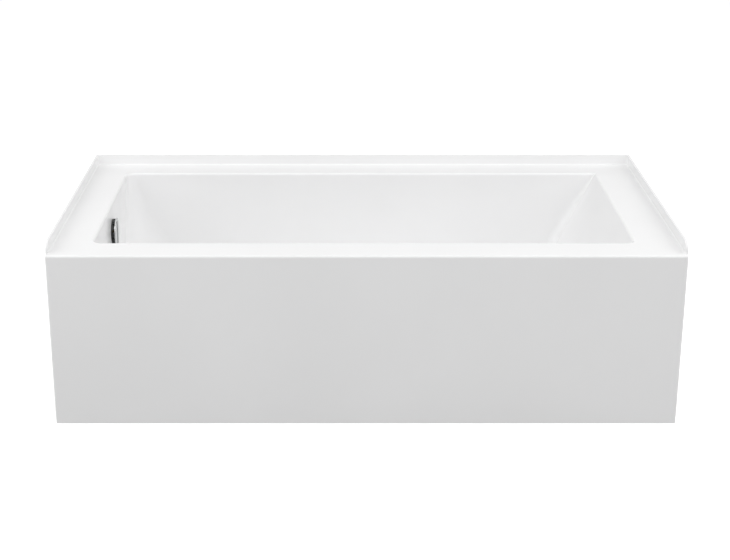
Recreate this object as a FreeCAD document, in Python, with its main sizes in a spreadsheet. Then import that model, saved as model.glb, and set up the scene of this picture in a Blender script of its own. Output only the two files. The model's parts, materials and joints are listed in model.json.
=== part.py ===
import FreeCAD, Part
import math
import os
import Sketcher
from FreeCAD import Placement, Rotation, Vector

# Alcove bathtub, left-hand drain, with integral apron and tile flange.
# Millimetres.  X runs along the tub (drain end at -X), Y from the apron at the
# front to the wall at the back, Z up.  The origin is on the floor under the
# middle of the tub's outline.

doc = FreeCAD.newDocument("alcove_bathtub")
sheet = doc.addObject("Spreadsheet::Sheet", "Dimensions")


# --- sizes ------------------------------------------------------------------

class Size:
    """A number together with the expression that the document keeps for it."""

    def __init__(self, text, value):
        self.text = text
        self.value = float(value)

    def join(self, other, sign, value):
        return Size("(" + self.text + " " + sign + " " + other.text + ")", value)

    def __add__(self, other):
        other = as_size(other)
        return self.join(other, "+", self.value + other.value)

    def __radd__(self, other):
        return as_size(other) + self

    def __sub__(self, other):
        other = as_size(other)
        return self.join(other, "-", self.value - other.value)

    def __rsub__(self, other):
        return as_size(other) - self

    def __mul__(self, other):
        other = as_size(other)
        return self.join(other, "*", self.value * other.value)

    def __rmul__(self, other):
        return as_size(other) * self

    def __truediv__(self, other):
        other = as_size(other)
        return self.join(other, "/", self.value / other.value)

    def __neg__(self):
        return as_size(0) - self

    def __float__(self):
        return self.value


def as_size(value):
    if isinstance(value, Size):
        return value
    return Size(repr(float(value)), value)


def of_angle(name, function, angle):
    return Size(name + "(" + angle.text + ")", function(math.radians(angle.value)))


def tangent(angle):
    return of_angle("tan", math.tan, angle)


def cosine(angle):
    return of_angle("cos", math.cos, angle)


def root(value):
    return Size("sqrt(" + value.text + ")", math.sqrt(value.value))


def size(name, value):
    """Enter one driving dimension in the sheet and hand it back."""
    size.row += 1
    cell = "B" + str(size.row)
    sheet.set("A" + str(size.row), name)
    sheet.set(cell, str(value))
    sheet.setAlias(cell, name)
    return Size("Dimensions." + name, value)


size.row = 0

# outline of the tub
tub_length = size("tub_length", 1524)
tub_depth = size("tub_depth", 812.8)
deck_height = size("deck_height", 435.6)
shell_wall = size("shell_wall", 5)

# tile flange on the three wall sides
flange_rise = size("flange_rise", 27.8)
flange_wall = size("flange_wall", 5.5)
flange_cove = size("flange_cove", 4)
flange_corner = size("flange_corner", 9)
flange_end_gap = size("flange_end_gap", 17)
flange_end_round = size("flange_end_round", 25)

# width of the deck from each outer edge to the basin wall
deck_left = size("deck_left", 100)
deck_right = size("deck_right", 112)
deck_front = size("deck_front", 98)
deck_back = size("deck_back", 98)

# basin
floor_height = size("floor_height", 90)
floor_slope = size("floor_slope", 0.6)
end_draft = size("end_draft", 1)
side_draft = size("side_draft", 4.5)
corner_radius_rim = size("corner_radius_rim", 25)
corner_radius_floor = size("corner_radius_floor", 170)
floor_edge_radius = size("floor_edge_radius", 60)
back_rest_angle = size("back_rest_angle", 29)
lumbar_angle = size("lumbar_angle", 14)
lumbar_height = size("lumbar_height", 245)
lumbar_radius = size("lumbar_radius", 320)
back_rest_foot_radius = size("back_rest_foot_radius", 110)
crease_radius = size("crease_radius", 6)
crease_foot_radius = size("crease_foot_radius", 34)

# edges and returns
rim_edge_radius = size("rim_edge_radius", 5.5)
apron_edge_radius = size("apron_edge_radius", 6)
apron_corner_radius = size("apron_corner_radius", 6.5)
apron_return = size("apron_return", 26)

# waste opening in the floor and overflow opening in the drain-end wall
drain_setback = size("drain_setback", 254)
sump_radius = size("sump_radius", 42)
sump_depth = size("sump_depth", 3)
drain_hole_radius = size("drain_hole_radius", 25)
overflow_drop = size("overflow_drop", 72.6)
overflow_hole_radius = size("overflow_hole_radius", 28)

# wooden base and battens
board_thickness = size("board_thickness", 15)
board_margin = size("board_margin", 6)
batten_wood = size("batten_wood", 18)
apron_batten_height = size("apron_batten_height", 75)
front_batten_width = size("front_batten_width", 55)
rear_batten_width = size("rear_batten_width", 60)
batten_end_gap = size("batten_end_gap", 40)

# foot rails
rail_width = size("rail_width", 40)
rail_height = size("rail_height", 25)
rail_steel = size("rail_steel", 2.5)
rail_inset = size("rail_inset", 60)
foot_spacing = size("foot_spacing", 540)
rail_overhang = size("rail_overhang", 30)

# levelling feet
stud_radius = size("stud_radius", 6)
stud_socket_wall = size("stud_socket_wall", 2)
pad_radius = size("pad_radius", 24)
pad_height = size("pad_height", 12)
stud_rise = size("stud_rise", 84)
nut_across = size("nut_across", 18)
nut_height = size("nut_height", 8)
thread_gap = size("thread_gap", 0.05)

# wood screws
screw_radius = size("screw_radius", 2.5)
screw_head_radius = size("screw_head_radius", 5)
screw_head_height = size("screw_head_height", 3)
screw_grip = size("screw_grip", 12)
screw_gap = size("screw_gap", 0.1)

# apron braces
strap_width = size("strap_width", 30)
strap_steel = size("strap_steel", 3)
strap_drop = size("strap_drop", 34)
strap_lap = size("strap_lap", 17)

# pipework, nominal 38 mm tube
pipe_radius = size("pipe_radius", 19.05)
pipe_wall = size("pipe_wall", 1.6)
socket_wall = size("socket_wall", 3.85)
socket_depth = size("socket_depth", 24)
socket_gap = size("socket_gap", 0.1)
pipe_axis_height = size("pipe_axis_height", 40)
overflow_pipe_offset = size("overflow_pipe_offset", 59)
outlet_height = size("outlet_height", 6)
outlet_shoulder = size("outlet_shoulder", 1)
slip_nut_radius = size("slip_nut_radius", 29)
slip_nut_length = size("slip_nut_length", 20)
slip_nut_lip = size("slip_nut_lip", 4)
slip_washer_height = size("slip_washer_height", 3)

# waste fitting
waste_flange_radius = size("waste_flange_radius", 37)
waste_flange_height = size("waste_flange_height", 2.5)
waste_barrel_radius = size("waste_barrel_radius", 24)
waste_barrel_length = size("waste_barrel_length", 34)
waste_bore_radius = size("waste_bore_radius", 20.5)
seal_height = size("seal_height", 1.5)
washer_height = size("washer_height", 3)
shoe_flange_radius = size("shoe_flange_radius", 37)
shoe_flange_height = size("shoe_flange_height", 4)
shoe_wall = size("shoe_wall", 4)
shoe_base_height = size("shoe_base_height", 13)
shoe_outlet_reach = size("shoe_outlet_reach", 60)

# pop-up plug and its lifter
plug_radius = size("plug_radius", 29)
plug_height = size("plug_height", 5.5)
plug_seal_height = size("plug_seal_height", 2.5)
plug_seal_radius = size("plug_seal_radius", 25)
plug_clearance = size("plug_clearance", 0.3)
plug_stem_radius = size("plug_stem_radius", 3)
spider_height = size("spider_height", 6)
spider_width = size("spider_width", 4)
spider_hub_radius = size("spider_hub_radius", 6)
lever_reach = size("lever_reach", 18)
lever_radius = size("lever_radius", 3.5)
lever_thickness = size("lever_thickness", 4.2)
lever_width = size("lever_width", 6)
lever_drop = size("lever_drop", 14)
lever_height = size("lever_height", 42)
lever_pin_radius = size("lever_pin_radius", 2)

# overflow fitting with its turning knob
gasket_height = size("gasket_height", 5)
gasket_radius = size("gasket_radius", 36)
drum_radius = size("drum_radius", 31)
drum_wall = size("drum_wall", 4)
drum_length = size("drum_length", 60)
elbow_flange_height = size("elbow_flange_height", 4)
inlet_radius = size("inlet_radius", 35)
inlet_height = size("inlet_height", 9)
inlet_wall = size("inlet_wall", 3)
inlet_spigot = size("inlet_spigot", 12)
inlet_slot_width = size("inlet_slot_width", 11)
inlet_slot_height = size("inlet_slot_height", 5)
bridge_width = size("bridge_width", 11)
bridge_height = size("bridge_height", 4)
inlet_screw_radius = size("inlet_screw_radius", 2)
inlet_screw_length = size("inlet_screw_length", 45)
inlet_screw_spread = size("inlet_screw_spread", 18)
spindle_radius = size("spindle_radius", 5)
knob_radius = size("knob_radius", 38)
knob_edge = size("knob_edge", 2)
knob_crown = size("knob_crown", 0.8)
knob_gap = size("knob_gap", 0.3)
knob_ridge_width = size("knob_ridge_width", 7)
knob_ridge_height = size("knob_ridge_height", 1.5)
knob_ridge_length = size("knob_ridge_length", 58)
knob_hub_radius = size("knob_hub_radius", 8.5)
bridge_boss_height = size("bridge_boss_height", 3)
cam_radius = size("cam_radius", 11)
cam_height = size("cam_height", 6)
cam_depth = size("cam_depth", 30)
crank_pin_radius = size("crank_pin_radius", 1.6)
crank_throw = size("crank_throw", 8)

# pull cable from the knob to the lifter
sheath_radius = size("sheath_radius", 2.5)
ferrule_radius = size("ferrule_radius", 5)
ferrule_length = size("ferrule_length", 12)
ferrule_grip = size("ferrule_grip", 6)
gland_wall = size("gland_wall", 2)
cable_offset = size("cable_offset", 31)
cable_setback = size("cable_setback", 14)
push_pin_radius = size("push_pin_radius", 1.5)
push_pin_length = size("push_pin_length", 9)
push_pin_height = size("push_pin_height", 32)
cable_sweep = size("cable_sweep", 90)

# places worked out from the sizes
half_length = tub_length / 2
half_depth = tub_depth / 2
left_wall_x = deck_left - half_length
right_wall_x = half_length - deck_right
front_wall_y = deck_front - half_depth
back_wall_y = half_depth - deck_back
middle_y = (front_wall_y + back_wall_y) / 2
deck_underside = deck_height - shell_wall
flange_top = deck_height + flange_rise
overflow_height = deck_height - overflow_drop
drain_x = drain_setback - half_length
sump_floor = floor_height - sump_depth
sump_underside = sump_floor - shell_wall
lumbar_x = right_wall_x - (deck_height - lumbar_height) * tangent(back_rest_angle)


def floor_at(x, below=0):
    """Height of the sloping basin floor, or of a face that lies below it."""
    return floor_height - below + (x - drain_x) * tangent(floor_slope)


def left_wall_at(z, outside=0):
    """X of the drain-end wall at a height, on its inner or outer face."""
    return left_wall_x - outside + (deck_height - z) * tangent(end_draft)


# --- drawing helpers ----------------------------------------------------------

finished = []
ON_PLACE = 0.1     # an edge this near to a level or face lies on it
CLEAR = 1.0        # and one farther than this lies clear of it


def finish(piece, label):
    """Name a finished sub-part and put it on the list that is written out."""
    piece.Label = label
    finished.append(piece)
    return piece


def bind(thing, name, value):
    thing.setExpression(name, as_size(value).text)


def place(piece, position, rotation=None):
    """Bind a piece's position to the sheet, and turn it if asked."""
    if rotation is not None:
        piece.Placement = Placement(Vector(), rotation)
    for axis, value in zip("xyz", position):
        bind(piece, "Placement.Base." + axis, value)


def plane_of(body, role):
    return [item for item in body.Origin.OriginFeatures if item.Role == role][0]


def sketch_on(body, role, shift=0):
    drawing = body.newObject("Sketcher::SketchObject", body.Name + "_sketch")
    drawing.AttachmentSupport = (plane_of(body, role), "")
    drawing.MapMode = "FlatFace"
    bind(drawing, "AttachmentOffset.Base.z", shift)
    return drawing


def constrain(drawing, kind, *references):
    return drawing.addConstraint(Sketcher.Constraint(kind, *references))


def measure(drawing, kind, references, value):
    """Add one dimension and bind it to its expression."""
    value = as_size(value)
    index = constrain(drawing, kind, *references, value.value)
    drawing.setExpression("Constraints[" + str(index) + "]", value.text)


ORIGIN = (-1, 1)


def pin_point(drawing, geometry, end, x, y):
    """Fix a sketch point from the origin; a zero lies on the sketch's axis."""
    for kind, value in (("DistanceX", x), ("DistanceY", y)):
        if as_size(value).text == "0.0":
            axis = -2 if kind == "DistanceX" else -1
            constrain(drawing, "PointOnObject", geometry, end, axis)
        else:
            measure(drawing, kind, ORIGIN + (geometry, end), value)


def polygon(drawing, points):
    corners = [Vector(float(x), float(y), 0) for x, y in points]
    count = len(corners)
    sides = []
    for index in range(count):
        line = Part.LineSegment(corners[index], corners[(index + 1) % count])
        sides.append(drawing.addGeometry(line, False))
    for index in range(count):
        constrain(drawing, "Coincident", sides[index], 2, sides[(index + 1) % count], 1)
        pin_point(drawing, sides[index], 1, *points[index])
    return drawing


def rectangle(drawing, x_low, x_high, y_low, y_high):
    return polygon(drawing, [(x_low, y_low), (x_high, y_low), (x_high, y_high), (x_low, y_high)])


def circle(drawing, radius, x=0, y=0):
    centre = Vector(float(x), float(y), 0)
    index = drawing.addGeometry(Part.Circle(centre, Vector(0, 0, 1), float(radius)), False)
    measure(drawing, "Radius", (index,), radius)
    pin_point(drawing, index, 3, x, y)
    return drawing


def hexagon(drawing, across):
    """Hexagon with two flats square to the sketch's vertical axis."""
    corner = across / root(as_size(3))
    half = across / 2
    return polygon(drawing, [(corner, 0), (corner / 2, half), (-corner / 2, half),
                             (-corner, 0), (-corner / 2, -half), (corner / 2, -half)])


def pad(body, drawing, length, both_ways=False):
    feature = body.newObject("PartDesign::Pad", body.Name + "_pad")
    feature.Profile = drawing
    bind(feature, "Length", length)
    feature.SideType = "Symmetric" if both_ways else "One side"
    doc.recompute()
    return feature


def pocket(body, drawing, depth=None):
    """Cut a sketch through the whole body, or upwards to a depth, and make sure that it cut."""
    before = body.Shape.Volume
    feature = body.newObject("PartDesign::Pocket", body.Name + "_pocket")
    feature.Profile = drawing
    if depth is None:
        feature.Type = "ThroughAll"
        feature.SideType = "Symmetric"
    else:
        feature.Reversed = True
        bind(feature, "Length", depth)
    doc.recompute()
    if body.Shape.Volume >= before:
        raise RuntimeError(feature.Name + " cuts nothing")
    return feature


def revolve(body, drawing):
    feature = body.newObject("PartDesign::Revolution", body.Name + "_turning")
    feature.Profile = drawing
    feature.ReferenceAxis = (drawing, ["V_Axis"])
    feature.Angle = 360
    doc.recompute()
    return feature


def edges_where(shape, test):
    return [index for index, edge in enumerate(shape.Edges, 1) if test(edge)]


def round_edges(body, radius, test):
    """Fillet the edges of a body's last feature that pass a test."""
    base = body.Tip
    feature = body.newObject("PartDesign::Fillet", body.Name + "_round")
    feature.Base = (base, ["Edge" + str(index) for index in edges_where(base.Shape, test)])
    bind(feature, "Radius", radius)
    doc.recompute()
    return feature


def turned(label, profile):
    """A body revolved about its own vertical axis from (radius, height) points."""
    body = doc.addObject("PartDesign::Body", label)
    revolve(body, polygon(sketch_on(body, "XZ_Plane"), profile))
    return body


def ring(label, inner, outer, low, high):
    return turned(label, [(inner, low), (outer, low), (outer, high), (inner, high)])


def box(label, x_low, x_high, y_low, y_high, z_low, z_high):
    solid = doc.addObject("Part::Box", label)
    place(solid, (x_low, y_low, z_low))
    bind(solid, "Length", x_high - x_low)
    bind(solid, "Width", y_high - y_low)
    bind(solid, "Height", z_high - z_low)
    return solid


def cylinder(label, radius, height, position=(0, 0, 0), rotation=None):
    solid = doc.addObject("Part::Cylinder", label)
    bind(solid, "Radius", radius)
    bind(solid, "Height", height)
    place(solid, position, rotation)
    return solid


def fuse(label, shapes):
    joined = doc.addObject("Part::MultiFuse", label)
    joined.Shapes = shapes
    joined.Refine = True
    doc.recompute()
    return joined


def cut(label, base, tool):
    result = doc.addObject("Part::Cut", label)
    result.Base = base
    result.Tool = tool
    doc.recompute()
    return result


def fillet_edges(label, base, chosen):
    """Fillet listed edges: (edge number, radius at its start, radius at its end)."""
    result = doc.addObject("Part::Fillet", label)
    result.Base = base
    result.Edges = chosen
    doc.recompute()
    return result


def group(label, pieces):
    """Identical fasteners, as separate solids of one sub-part."""
    together = doc.addObject("Part::Compound", label + "_group")
    together.Links = pieces
    doc.recompute()
    return finish(together, label)


# Turns that lay a piece's own +Z along +X, -X, -Y, +Y and -Z.
UP_TO_INSIDE = Rotation(Vector(0, 1, 0), 90)
UP_TO_OUTSIDE = Rotation(Vector(0, 1, 0), -90)
TOWARDS_APRON = Rotation(Vector(1, 0, 0), 90)
TOWARDS_BACK = Rotation(Vector(1, 0, 0), -90)
DOWNWARDS = Rotation(Vector(1, 0, 0), 180)


# --- basin forms --------------------------------------------------------------

def tapered_block(name, offset):
    """The four drafted walls of the basin, moved outwards by the offset."""
    base = floor_height - sump_radius
    drop = deck_height - base
    solid = doc.addObject("Part::Wedge", name + "_block")
    solid.Placement = Placement(Vector(), Rotation(Vector(1, 0, 0), 90))
    bind(solid, "Ymin", base)
    bind(solid, "Ymax", deck_height)
    bind(solid, "Xmin", left_wall_x - offset + drop * tangent(end_draft))
    bind(solid, "X2min", left_wall_x - offset)
    bind(solid, "Xmax", half_length)
    bind(solid, "X2max", half_length)
    bind(solid, "Zmin", -back_wall_y - offset + drop * tangent(side_draft))
    bind(solid, "Z2min", -back_wall_y - offset)
    bind(solid, "Zmax", -front_wall_y + offset - drop * tangent(side_draft))
    bind(solid, "Z2max", -front_wall_y + offset)
    return solid


def length_profile(name, offset):
    """Side view of the basin: sloping floor, lumbar curve and reclined back rest."""
    rim_x = right_wall_x + offset / cosine(back_rest_angle)
    bend_x = lumbar_x + offset / cosine(back_rest_angle)
    foot_x = bend_x - (lumbar_height - floor_height) * tangent(lumbar_angle)
    drawing = doc.addObject("Sketcher::SketchObject", name + "_profile")
    drawing.Placement = Placement(Vector(), Rotation(Vector(1, 0, 0), 90))
    polygon(drawing, [(-half_length, floor_at(-half_length, offset)),
                      (foot_x, floor_at(foot_x, offset)),
                      (bend_x, lumbar_height),
                      (rim_x, deck_height),
                      (-half_length, deck_height)])
    slab = doc.addObject("Part::Extrusion", name + "_slab")
    slab.Base = drawing
    slab.DirMode = "Custom"
    slab.Dir = Vector(0, 1, 0)
    slab.Symmetric = True
    slab.Solid = True
    bind(slab, "LengthFwd", tub_depth)
    doc.recompute()

    def across_at(x, z):
        def test(edge):
            middle = edge.CenterOfMass
            return abs(middle.x - float(x)) < 1 and abs(middle.z - float(z)) < 1
        return edges_where(slab.Shape, test)[0]

    foot_radius = float(back_rest_foot_radius - offset)
    bend_radius = float(lumbar_radius + offset)
    return fillet_edges(name + "_bends", slab, [
        (across_at(foot_x, floor_at(foot_x, offset)), foot_radius, foot_radius),
        (across_at(bend_x, lumbar_height), bend_radius, bend_radius)])


def basin_form(name, offset):
    """Solid with the basin's shape, grown by the offset: the cavity or its outside."""
    offset = as_size(offset)
    common = doc.addObject("Part::Common", name + "_walls")
    common.Base = tapered_block(name, offset)
    common.Tool = length_profile(name, offset)
    doc.recompute()

    # Upright corners at the drain end widen from the rim to the floor.
    rim_radius = float(corner_radius_rim + offset)
    base_radius = float(corner_radius_floor + offset)
    chosen = []
    for index, edge in enumerate(common.Shape.Edges, 1):
        upright = edge.BoundBox.ZLength > float(deck_height - floor_height) / 2
        if upright and edge.BoundBox.XMax < float(drain_x):
            rises = edge.valueAt(edge.FirstParameter).z < edge.valueAt(edge.LastParameter).z
            ends = (base_radius, rim_radius) if rises else (rim_radius, base_radius)
            chosen.append((index,) + ends)
    corners = fillet_edges(name + "_corners", common, chosen)

    # The floor's edge is wide, and narrows to a crease beside the back rest.
    floor_top = float(floor_at(right_wall_x, offset))
    bend_low = float(lumbar_height) - float(lumbar_radius + offset) / 4
    foot_x = float(lumbar_x) - float(back_rest_foot_radius) * 2
    wide = float(floor_edge_radius + offset)

    def crease_at(z):
        share = (float(deck_height) - z) / float(deck_height - floor_height)
        return float(crease_radius + offset) + share * float(crease_foot_radius - crease_radius)

    chosen = []
    for index, edge in enumerate(corners.Shape.Edges, 1):
        bounds = edge.BoundBox
        if bounds.ZMin > float(deck_height) - CLEAR:
            continue
        if bounds.ZMax < floor_top + CLEAR and not crosses(bounds, foot_x):
            chosen.append((index, wide, wide))
        elif bounds.XMin > foot_x and not crosses(bounds, foot_x):
            at_foot = bounds.ZMax < bend_low and bounds.ZMin < floor_top + CLEAR
            rises = edge.valueAt(edge.FirstParameter).z < edge.valueAt(edge.LastParameter).z
            low = wide if at_foot else crease_at(bounds.ZMin)
            high = crease_at(bounds.ZMax)
            chosen.append((index, low, high) if rises else (index, high, low))
    chosen.sort(key=lambda entry: entry[1] != wide or entry[2] != wide)
    return fillet_edges(name, corners, chosen)


def crosses(bounds, foot_x):
    """True for the lines that run straight across the basin near the back rest."""
    return bounds.XMin > foot_x and bounds.YLength > float(back_wall_y - front_wall_y) / 2


# --- tub shell ----------------------------------------------------------------

def deck_recess():
    """The space above the deck, inside the tile flange, with its coved edges."""
    space = box("recess_space", -half_length + flange_wall, half_length - flange_wall,
                -half_depth * 2, half_depth - flange_wall, deck_height, flange_top * 2)
    doc.recompute()
    inner_x = float(half_length - flange_wall)
    inner_y = float(half_depth - flange_wall)
    deck = float(deck_height)
    chosen = []
    for index, edge in enumerate(space.Shape.Edges, 1):
        middle = edge.CenterOfMass
        on_deck = abs(middle.z - deck) < ON_PLACE
        at_side = abs(abs(middle.x) - inner_x) < ON_PLACE
        at_back = abs(middle.y - inner_y) < ON_PLACE
        if on_deck and (at_side or at_back):
            chosen.append((index, float(flange_cove), float(flange_cove)))
        elif at_side and at_back:
            chosen.append((index, float(flange_corner), float(flange_corner)))
    return fillet_edges("recess", space, chosen)


def flange_ends():
    """Clears the front ends of the side flanges, which curve down to the deck."""
    far = half_length * 2
    gap_y = flange_end_gap - half_depth
    front = box("flange_front", -far, far, -half_depth * 2, gap_y, deck_height, flange_top * 2)
    corner = box("flange_corner_block", -far, far, gap_y, gap_y + flange_end_round,
                 flange_top - flange_end_round, flange_top + flange_wall)
    bar = cylinder("flange_corner_bar", flange_end_round, far * 2,
                   (-far, gap_y + flange_end_round, flange_top - flange_end_round), UP_TO_INSIDE)
    return [front, cut("flange_corner_cut", corner, bar)]


def underside():
    """The space behind the apron and under the deck, open to the floor and the walls."""
    reach = half_length * 2
    return_y = apron_return - half_depth
    behind = box("space_behind_apron", shell_wall - half_length, half_length - shell_wall,
                 shell_wall - half_depth, return_y + shell_wall, shell_wall, deck_underside)
    open_side = box("space_under_deck", -reach, reach, return_y, half_depth * 2,
                    -shell_wall, deck_underside)
    return [behind, open_side]


def make_tub_shell():
    block = box("outer_block", -half_length, half_length, -half_depth, half_depth,
                as_size(0), flange_top)
    doc.recompute()
    corner = float(apron_corner_radius)
    front_corners = edges_where(block.Shape, lambda edge: edge.BoundBox.ZLength > 1
                                and edge.BoundBox.YMax < 0)
    block = fillet_edges("outer_form", block, [(index, corner, corner) for index in front_corners])
    outside = cut("outside", block, fuse("clearances", [deck_recess()] + flange_ends() + underside()))
    boss = cylinder("sump_boss", sump_radius + shell_wall, floor_height - sump_underside,
                    (drain_x, middle_y, sump_underside))
    solid = fuse("solid_tub", [outside, basin_form("basin_outside", shell_wall), boss])
    overflow_x = left_wall_at(overflow_height, shell_wall * 2)
    openings = fuse("openings", [
        basin_form("basin_cavity", 0),
        cylinder("sump", sump_radius, sump_depth * 4, (drain_x, middle_y, sump_floor)),
        cylinder("drain_hole", drain_hole_radius, floor_height,
                 (drain_x, middle_y, sump_underside - shell_wall)),
        cylinder("overflow_hole", overflow_hole_radius, shell_wall * 4,
                 (overflow_x, middle_y, overflow_height), UP_TO_INSIDE)])
    hollow = cut("hollow_tub", solid, openings)

    # Bright rounded edges: the basin rim, the apron's top and the flange's top.
    deck = float(deck_height)
    half_x = float(half_length)
    half_y = float(half_depth)
    chosen = []
    for index, edge in enumerate(hollow.Shape.Edges, 1):
        bounds = edge.BoundBox
        level = bounds.ZLength < ON_PLACE and abs(bounds.ZMin - deck) < ON_PLACE
        inside = max(abs(bounds.XMin), abs(bounds.XMax)) < half_x - float(flange_wall + flange_cove) - 1
        if level and inside:
            chosen.append((index, float(rim_edge_radius), float(rim_edge_radius)))
        elif level and abs(bounds.YMax + half_y) < ON_PLACE:
            chosen.append((index, float(apron_edge_radius), float(apron_edge_radius)))
    return finish(fillet_edges("rounded_tub", hollow, chosen), "tub_shell")


# --- base, battens and feet ----------------------------------------------------

board_left = drain_x + sump_radius + shell_wall + rail_inset / 3
board_right = lumbar_x - (lumbar_height - floor_height) * tangent(lumbar_angle) - back_rest_foot_radius
board_low = floor_at(board_left, shell_wall) - board_thickness
board_inset = (deck_height - floor_height) * tangent(side_draft) + floor_edge_radius + board_margin
board_front = front_wall_y + board_inset
board_back = back_wall_y - board_inset
rail_places = {"left": board_left + rail_inset, "right": board_right - rail_inset}
rail_low = board_low - rail_height
web_low = board_low - rail_steel
foot_rows = {"front": middle_y - foot_spacing / 2, "rear": middle_y + foot_spacing / 2}
screw_rows = (middle_y - foot_spacing / 4, middle_y + foot_spacing / 4)


def make_bottom_board():
    """Board bedded under the basin floor: level below, sloped to fit above."""
    board = doc.addObject("PartDesign::Body", "board_body")
    outline = sketch_on(board, "XZ_Plane", -(board_front + board_back) / 2)
    polygon(outline, [(board_left, board_low), (board_right, board_low),
                      (board_right, floor_at(board_right, shell_wall)),
                      (board_left, floor_at(board_left, shell_wall))])
    pad(board, outline, board_back - board_front, both_ways=True)
    holes = fuse("board_pilot_holes", [
        cylinder("pilot_hole", screw_radius + screw_gap, screw_grip + screw_gap, (x, y, board_low))
        for x in rail_places.values() for y in screw_rows])
    finish(cut("drilled_board", board, holes), "bottom_board")


def make_rail(side):
    """Foot rail: a steel channel across the tub, open below."""
    x = rail_places[side]
    rail = doc.addObject("PartDesign::Body", "rail_" + side)
    outline = sketch_on(rail, "XZ_Plane", -middle_y)
    outer = rail_width / 2
    inner = outer - rail_steel
    polygon(outline, [(x - outer, rail_low), (x - inner, rail_low), (x - inner, web_low),
                      (x + inner, web_low), (x + inner, rail_low), (x + outer, rail_low),
                      (x + outer, board_low), (x - outer, board_low)])
    pad(rail, outline, foot_spacing + rail_overhang * 2, both_ways=True)
    round_edges(rail, rail_steel / 2, lambda edge: edge.BoundBox.YLength > CLEAR
                and abs(edge.BoundBox.ZMin - float(board_low)) < ON_PLACE)
    holes = sketch_on(rail, "XY_Plane")
    for y in foot_rows.values():
        circle(holes, stud_radius + thread_gap * 10, x, y)
    for y in screw_rows:
        circle(holes, screw_radius + screw_gap, x, y)
    circle(holes, screw_radius + screw_gap, x, rail_end + strap_lap / 2)
    pocket(rail, holes)
    finish(rail, "foot_rail_" + side)


def hex_nut(label, position):
    nut = doc.addObject("PartDesign::Body", label)
    outline = hexagon(sketch_on(nut, "XY_Plane"), nut_across)
    pad(nut, circle(outline, stud_radius + thread_gap), nut_height)
    place(nut, position)
    return nut


def screw(label, shank_length, position, rotation=None):
    """Pan-headed screw, its head below the origin and its shank above."""
    piece = turned(label, [(0, -screw_head_height), (screw_head_radius / 2, -screw_head_height),
                           (screw_head_radius, -screw_head_height / 3), (screw_head_radius, 0),
                           (screw_radius, 0), (screw_radius, shank_length), (0, shank_length)])
    place(piece, position, rotation)
    return piece


def make_foot(row, side):
    """Levelling foot: a moulded pad and the threaded stud that carries it."""
    place_at = (rail_places[side], foot_rows[row], 0)
    name = row + "_" + side
    socket = stud_radius + stud_socket_wall
    collar = stud_radius * 2
    rise = pad_height / 3
    foot_pad = turned("pad_" + name, [(0, 0), (pad_radius, 0), (pad_radius, rise),
                                      (collar, pad_height), (socket, pad_height),
                                      (socket, rise), (0, rise)])
    place(foot_pad, place_at)
    finish(foot_pad, "foot_pad_" + name)
    stud = turned("stud_" + name, [(0, rise), (socket, rise), (socket, pad_height),
                                   (collar, pad_height), (collar, pad_height + rail_steel),
                                   (stud_radius, pad_height + rail_steel),
                                   (stud_radius, stud_rise - thread_gap * 20),
                                   (stud_radius - thread_gap * 20, stud_rise), (0, stud_rise)])
    place(stud, place_at)
    finish(stud, "foot_stud_" + name)


def make_base():
    make_bottom_board()
    for side in rail_places:
        make_rail(side)
        for row in foot_rows:
            make_foot(row, side)
    feet = [(x, y) for x in rail_places.values() for y in foot_rows.values()]
    group("weld_nuts", [hex_nut("weld_nut", (x, y, web_low - nut_height)) for x, y in feet])
    group("foot_lock_nuts", [hex_nut("lock_nut", (x, y, web_low - nut_height * 2)) for x, y in feet])
    group("rail_screws", [screw("rail_screw", rail_steel + screw_grip, (x, y, web_low))
                          for x in rail_places.values() for y in screw_rows])


def make_battens():
    """Wood laminated behind the apron and under the deck."""
    length_end = half_length - shell_wall - batten_end_gap
    inner_y = shell_wall - half_depth
    rear_y = back_wall_y + shell_wall + (deck_back - rear_batten_width) / 3
    low_z = deck_underside - batten_wood
    wood = box("apron_wood", -length_end, length_end, inner_y, inner_y + batten_wood,
               shell_wall, shell_wall + apron_batten_height)
    holes = fuse("apron_wood_holes", [brace_screw_holes(side) for side in rail_places])
    finish(cut("apron_wood_drilled", wood, holes), "apron_batten")
    finish(box("front_wood", -length_end, length_end, inner_y, inner_y + front_batten_width,
               low_z, deck_underside), "front_rim_batten")
    finish(box("rear_wood", -length_end, length_end, rear_y, rear_y + rear_batten_width,
               low_z, deck_underside), "rear_rim_batten")


def brace_screw_places(side):
    """Where each brace's two screws enter: into the batten, and down into the rail."""
    x = rail_places[side]
    into_batten = (x, batten_face + strap_steel, board_low + strap_steel - strap_drop * 0.6)
    into_rail = (x, rail_end + strap_lap / 2, board_low + strap_steel)
    return into_batten, into_rail


batten_face = shell_wall - half_depth + batten_wood
rail_end = middle_y - foot_spacing / 2 - rail_overhang


def make_braces():
    """Bent straps that tie the apron batten to the front ends of the rails."""
    top = board_low + strap_steel
    low = top - strap_drop
    for side, x in rail_places.items():
        strap = doc.addObject("PartDesign::Body", "brace_" + side)
        outline = sketch_on(strap, "YZ_Plane", x)
        polygon(outline, [(batten_face, low), (batten_face + strap_steel, low),
                          (batten_face + strap_steel, board_low), (rail_end + strap_lap, board_low),
                          (rail_end + strap_lap, top), (batten_face, top)])
        pad(strap, outline, strap_width, both_ways=True)
        inner_bend = float(batten_face + strap_steel)
        round_edges(strap, strap_steel, lambda edge: edge.BoundBox.XLength > 1
                    and abs(edge.CenterOfMass.y - inner_bend) < ON_PLACE
                    and abs(edge.CenterOfMass.z - float(board_low)) < ON_PLACE)
        finish(cut("drilled_brace", strap, brace_screw_holes(side)), "apron_brace_" + side)


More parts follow.
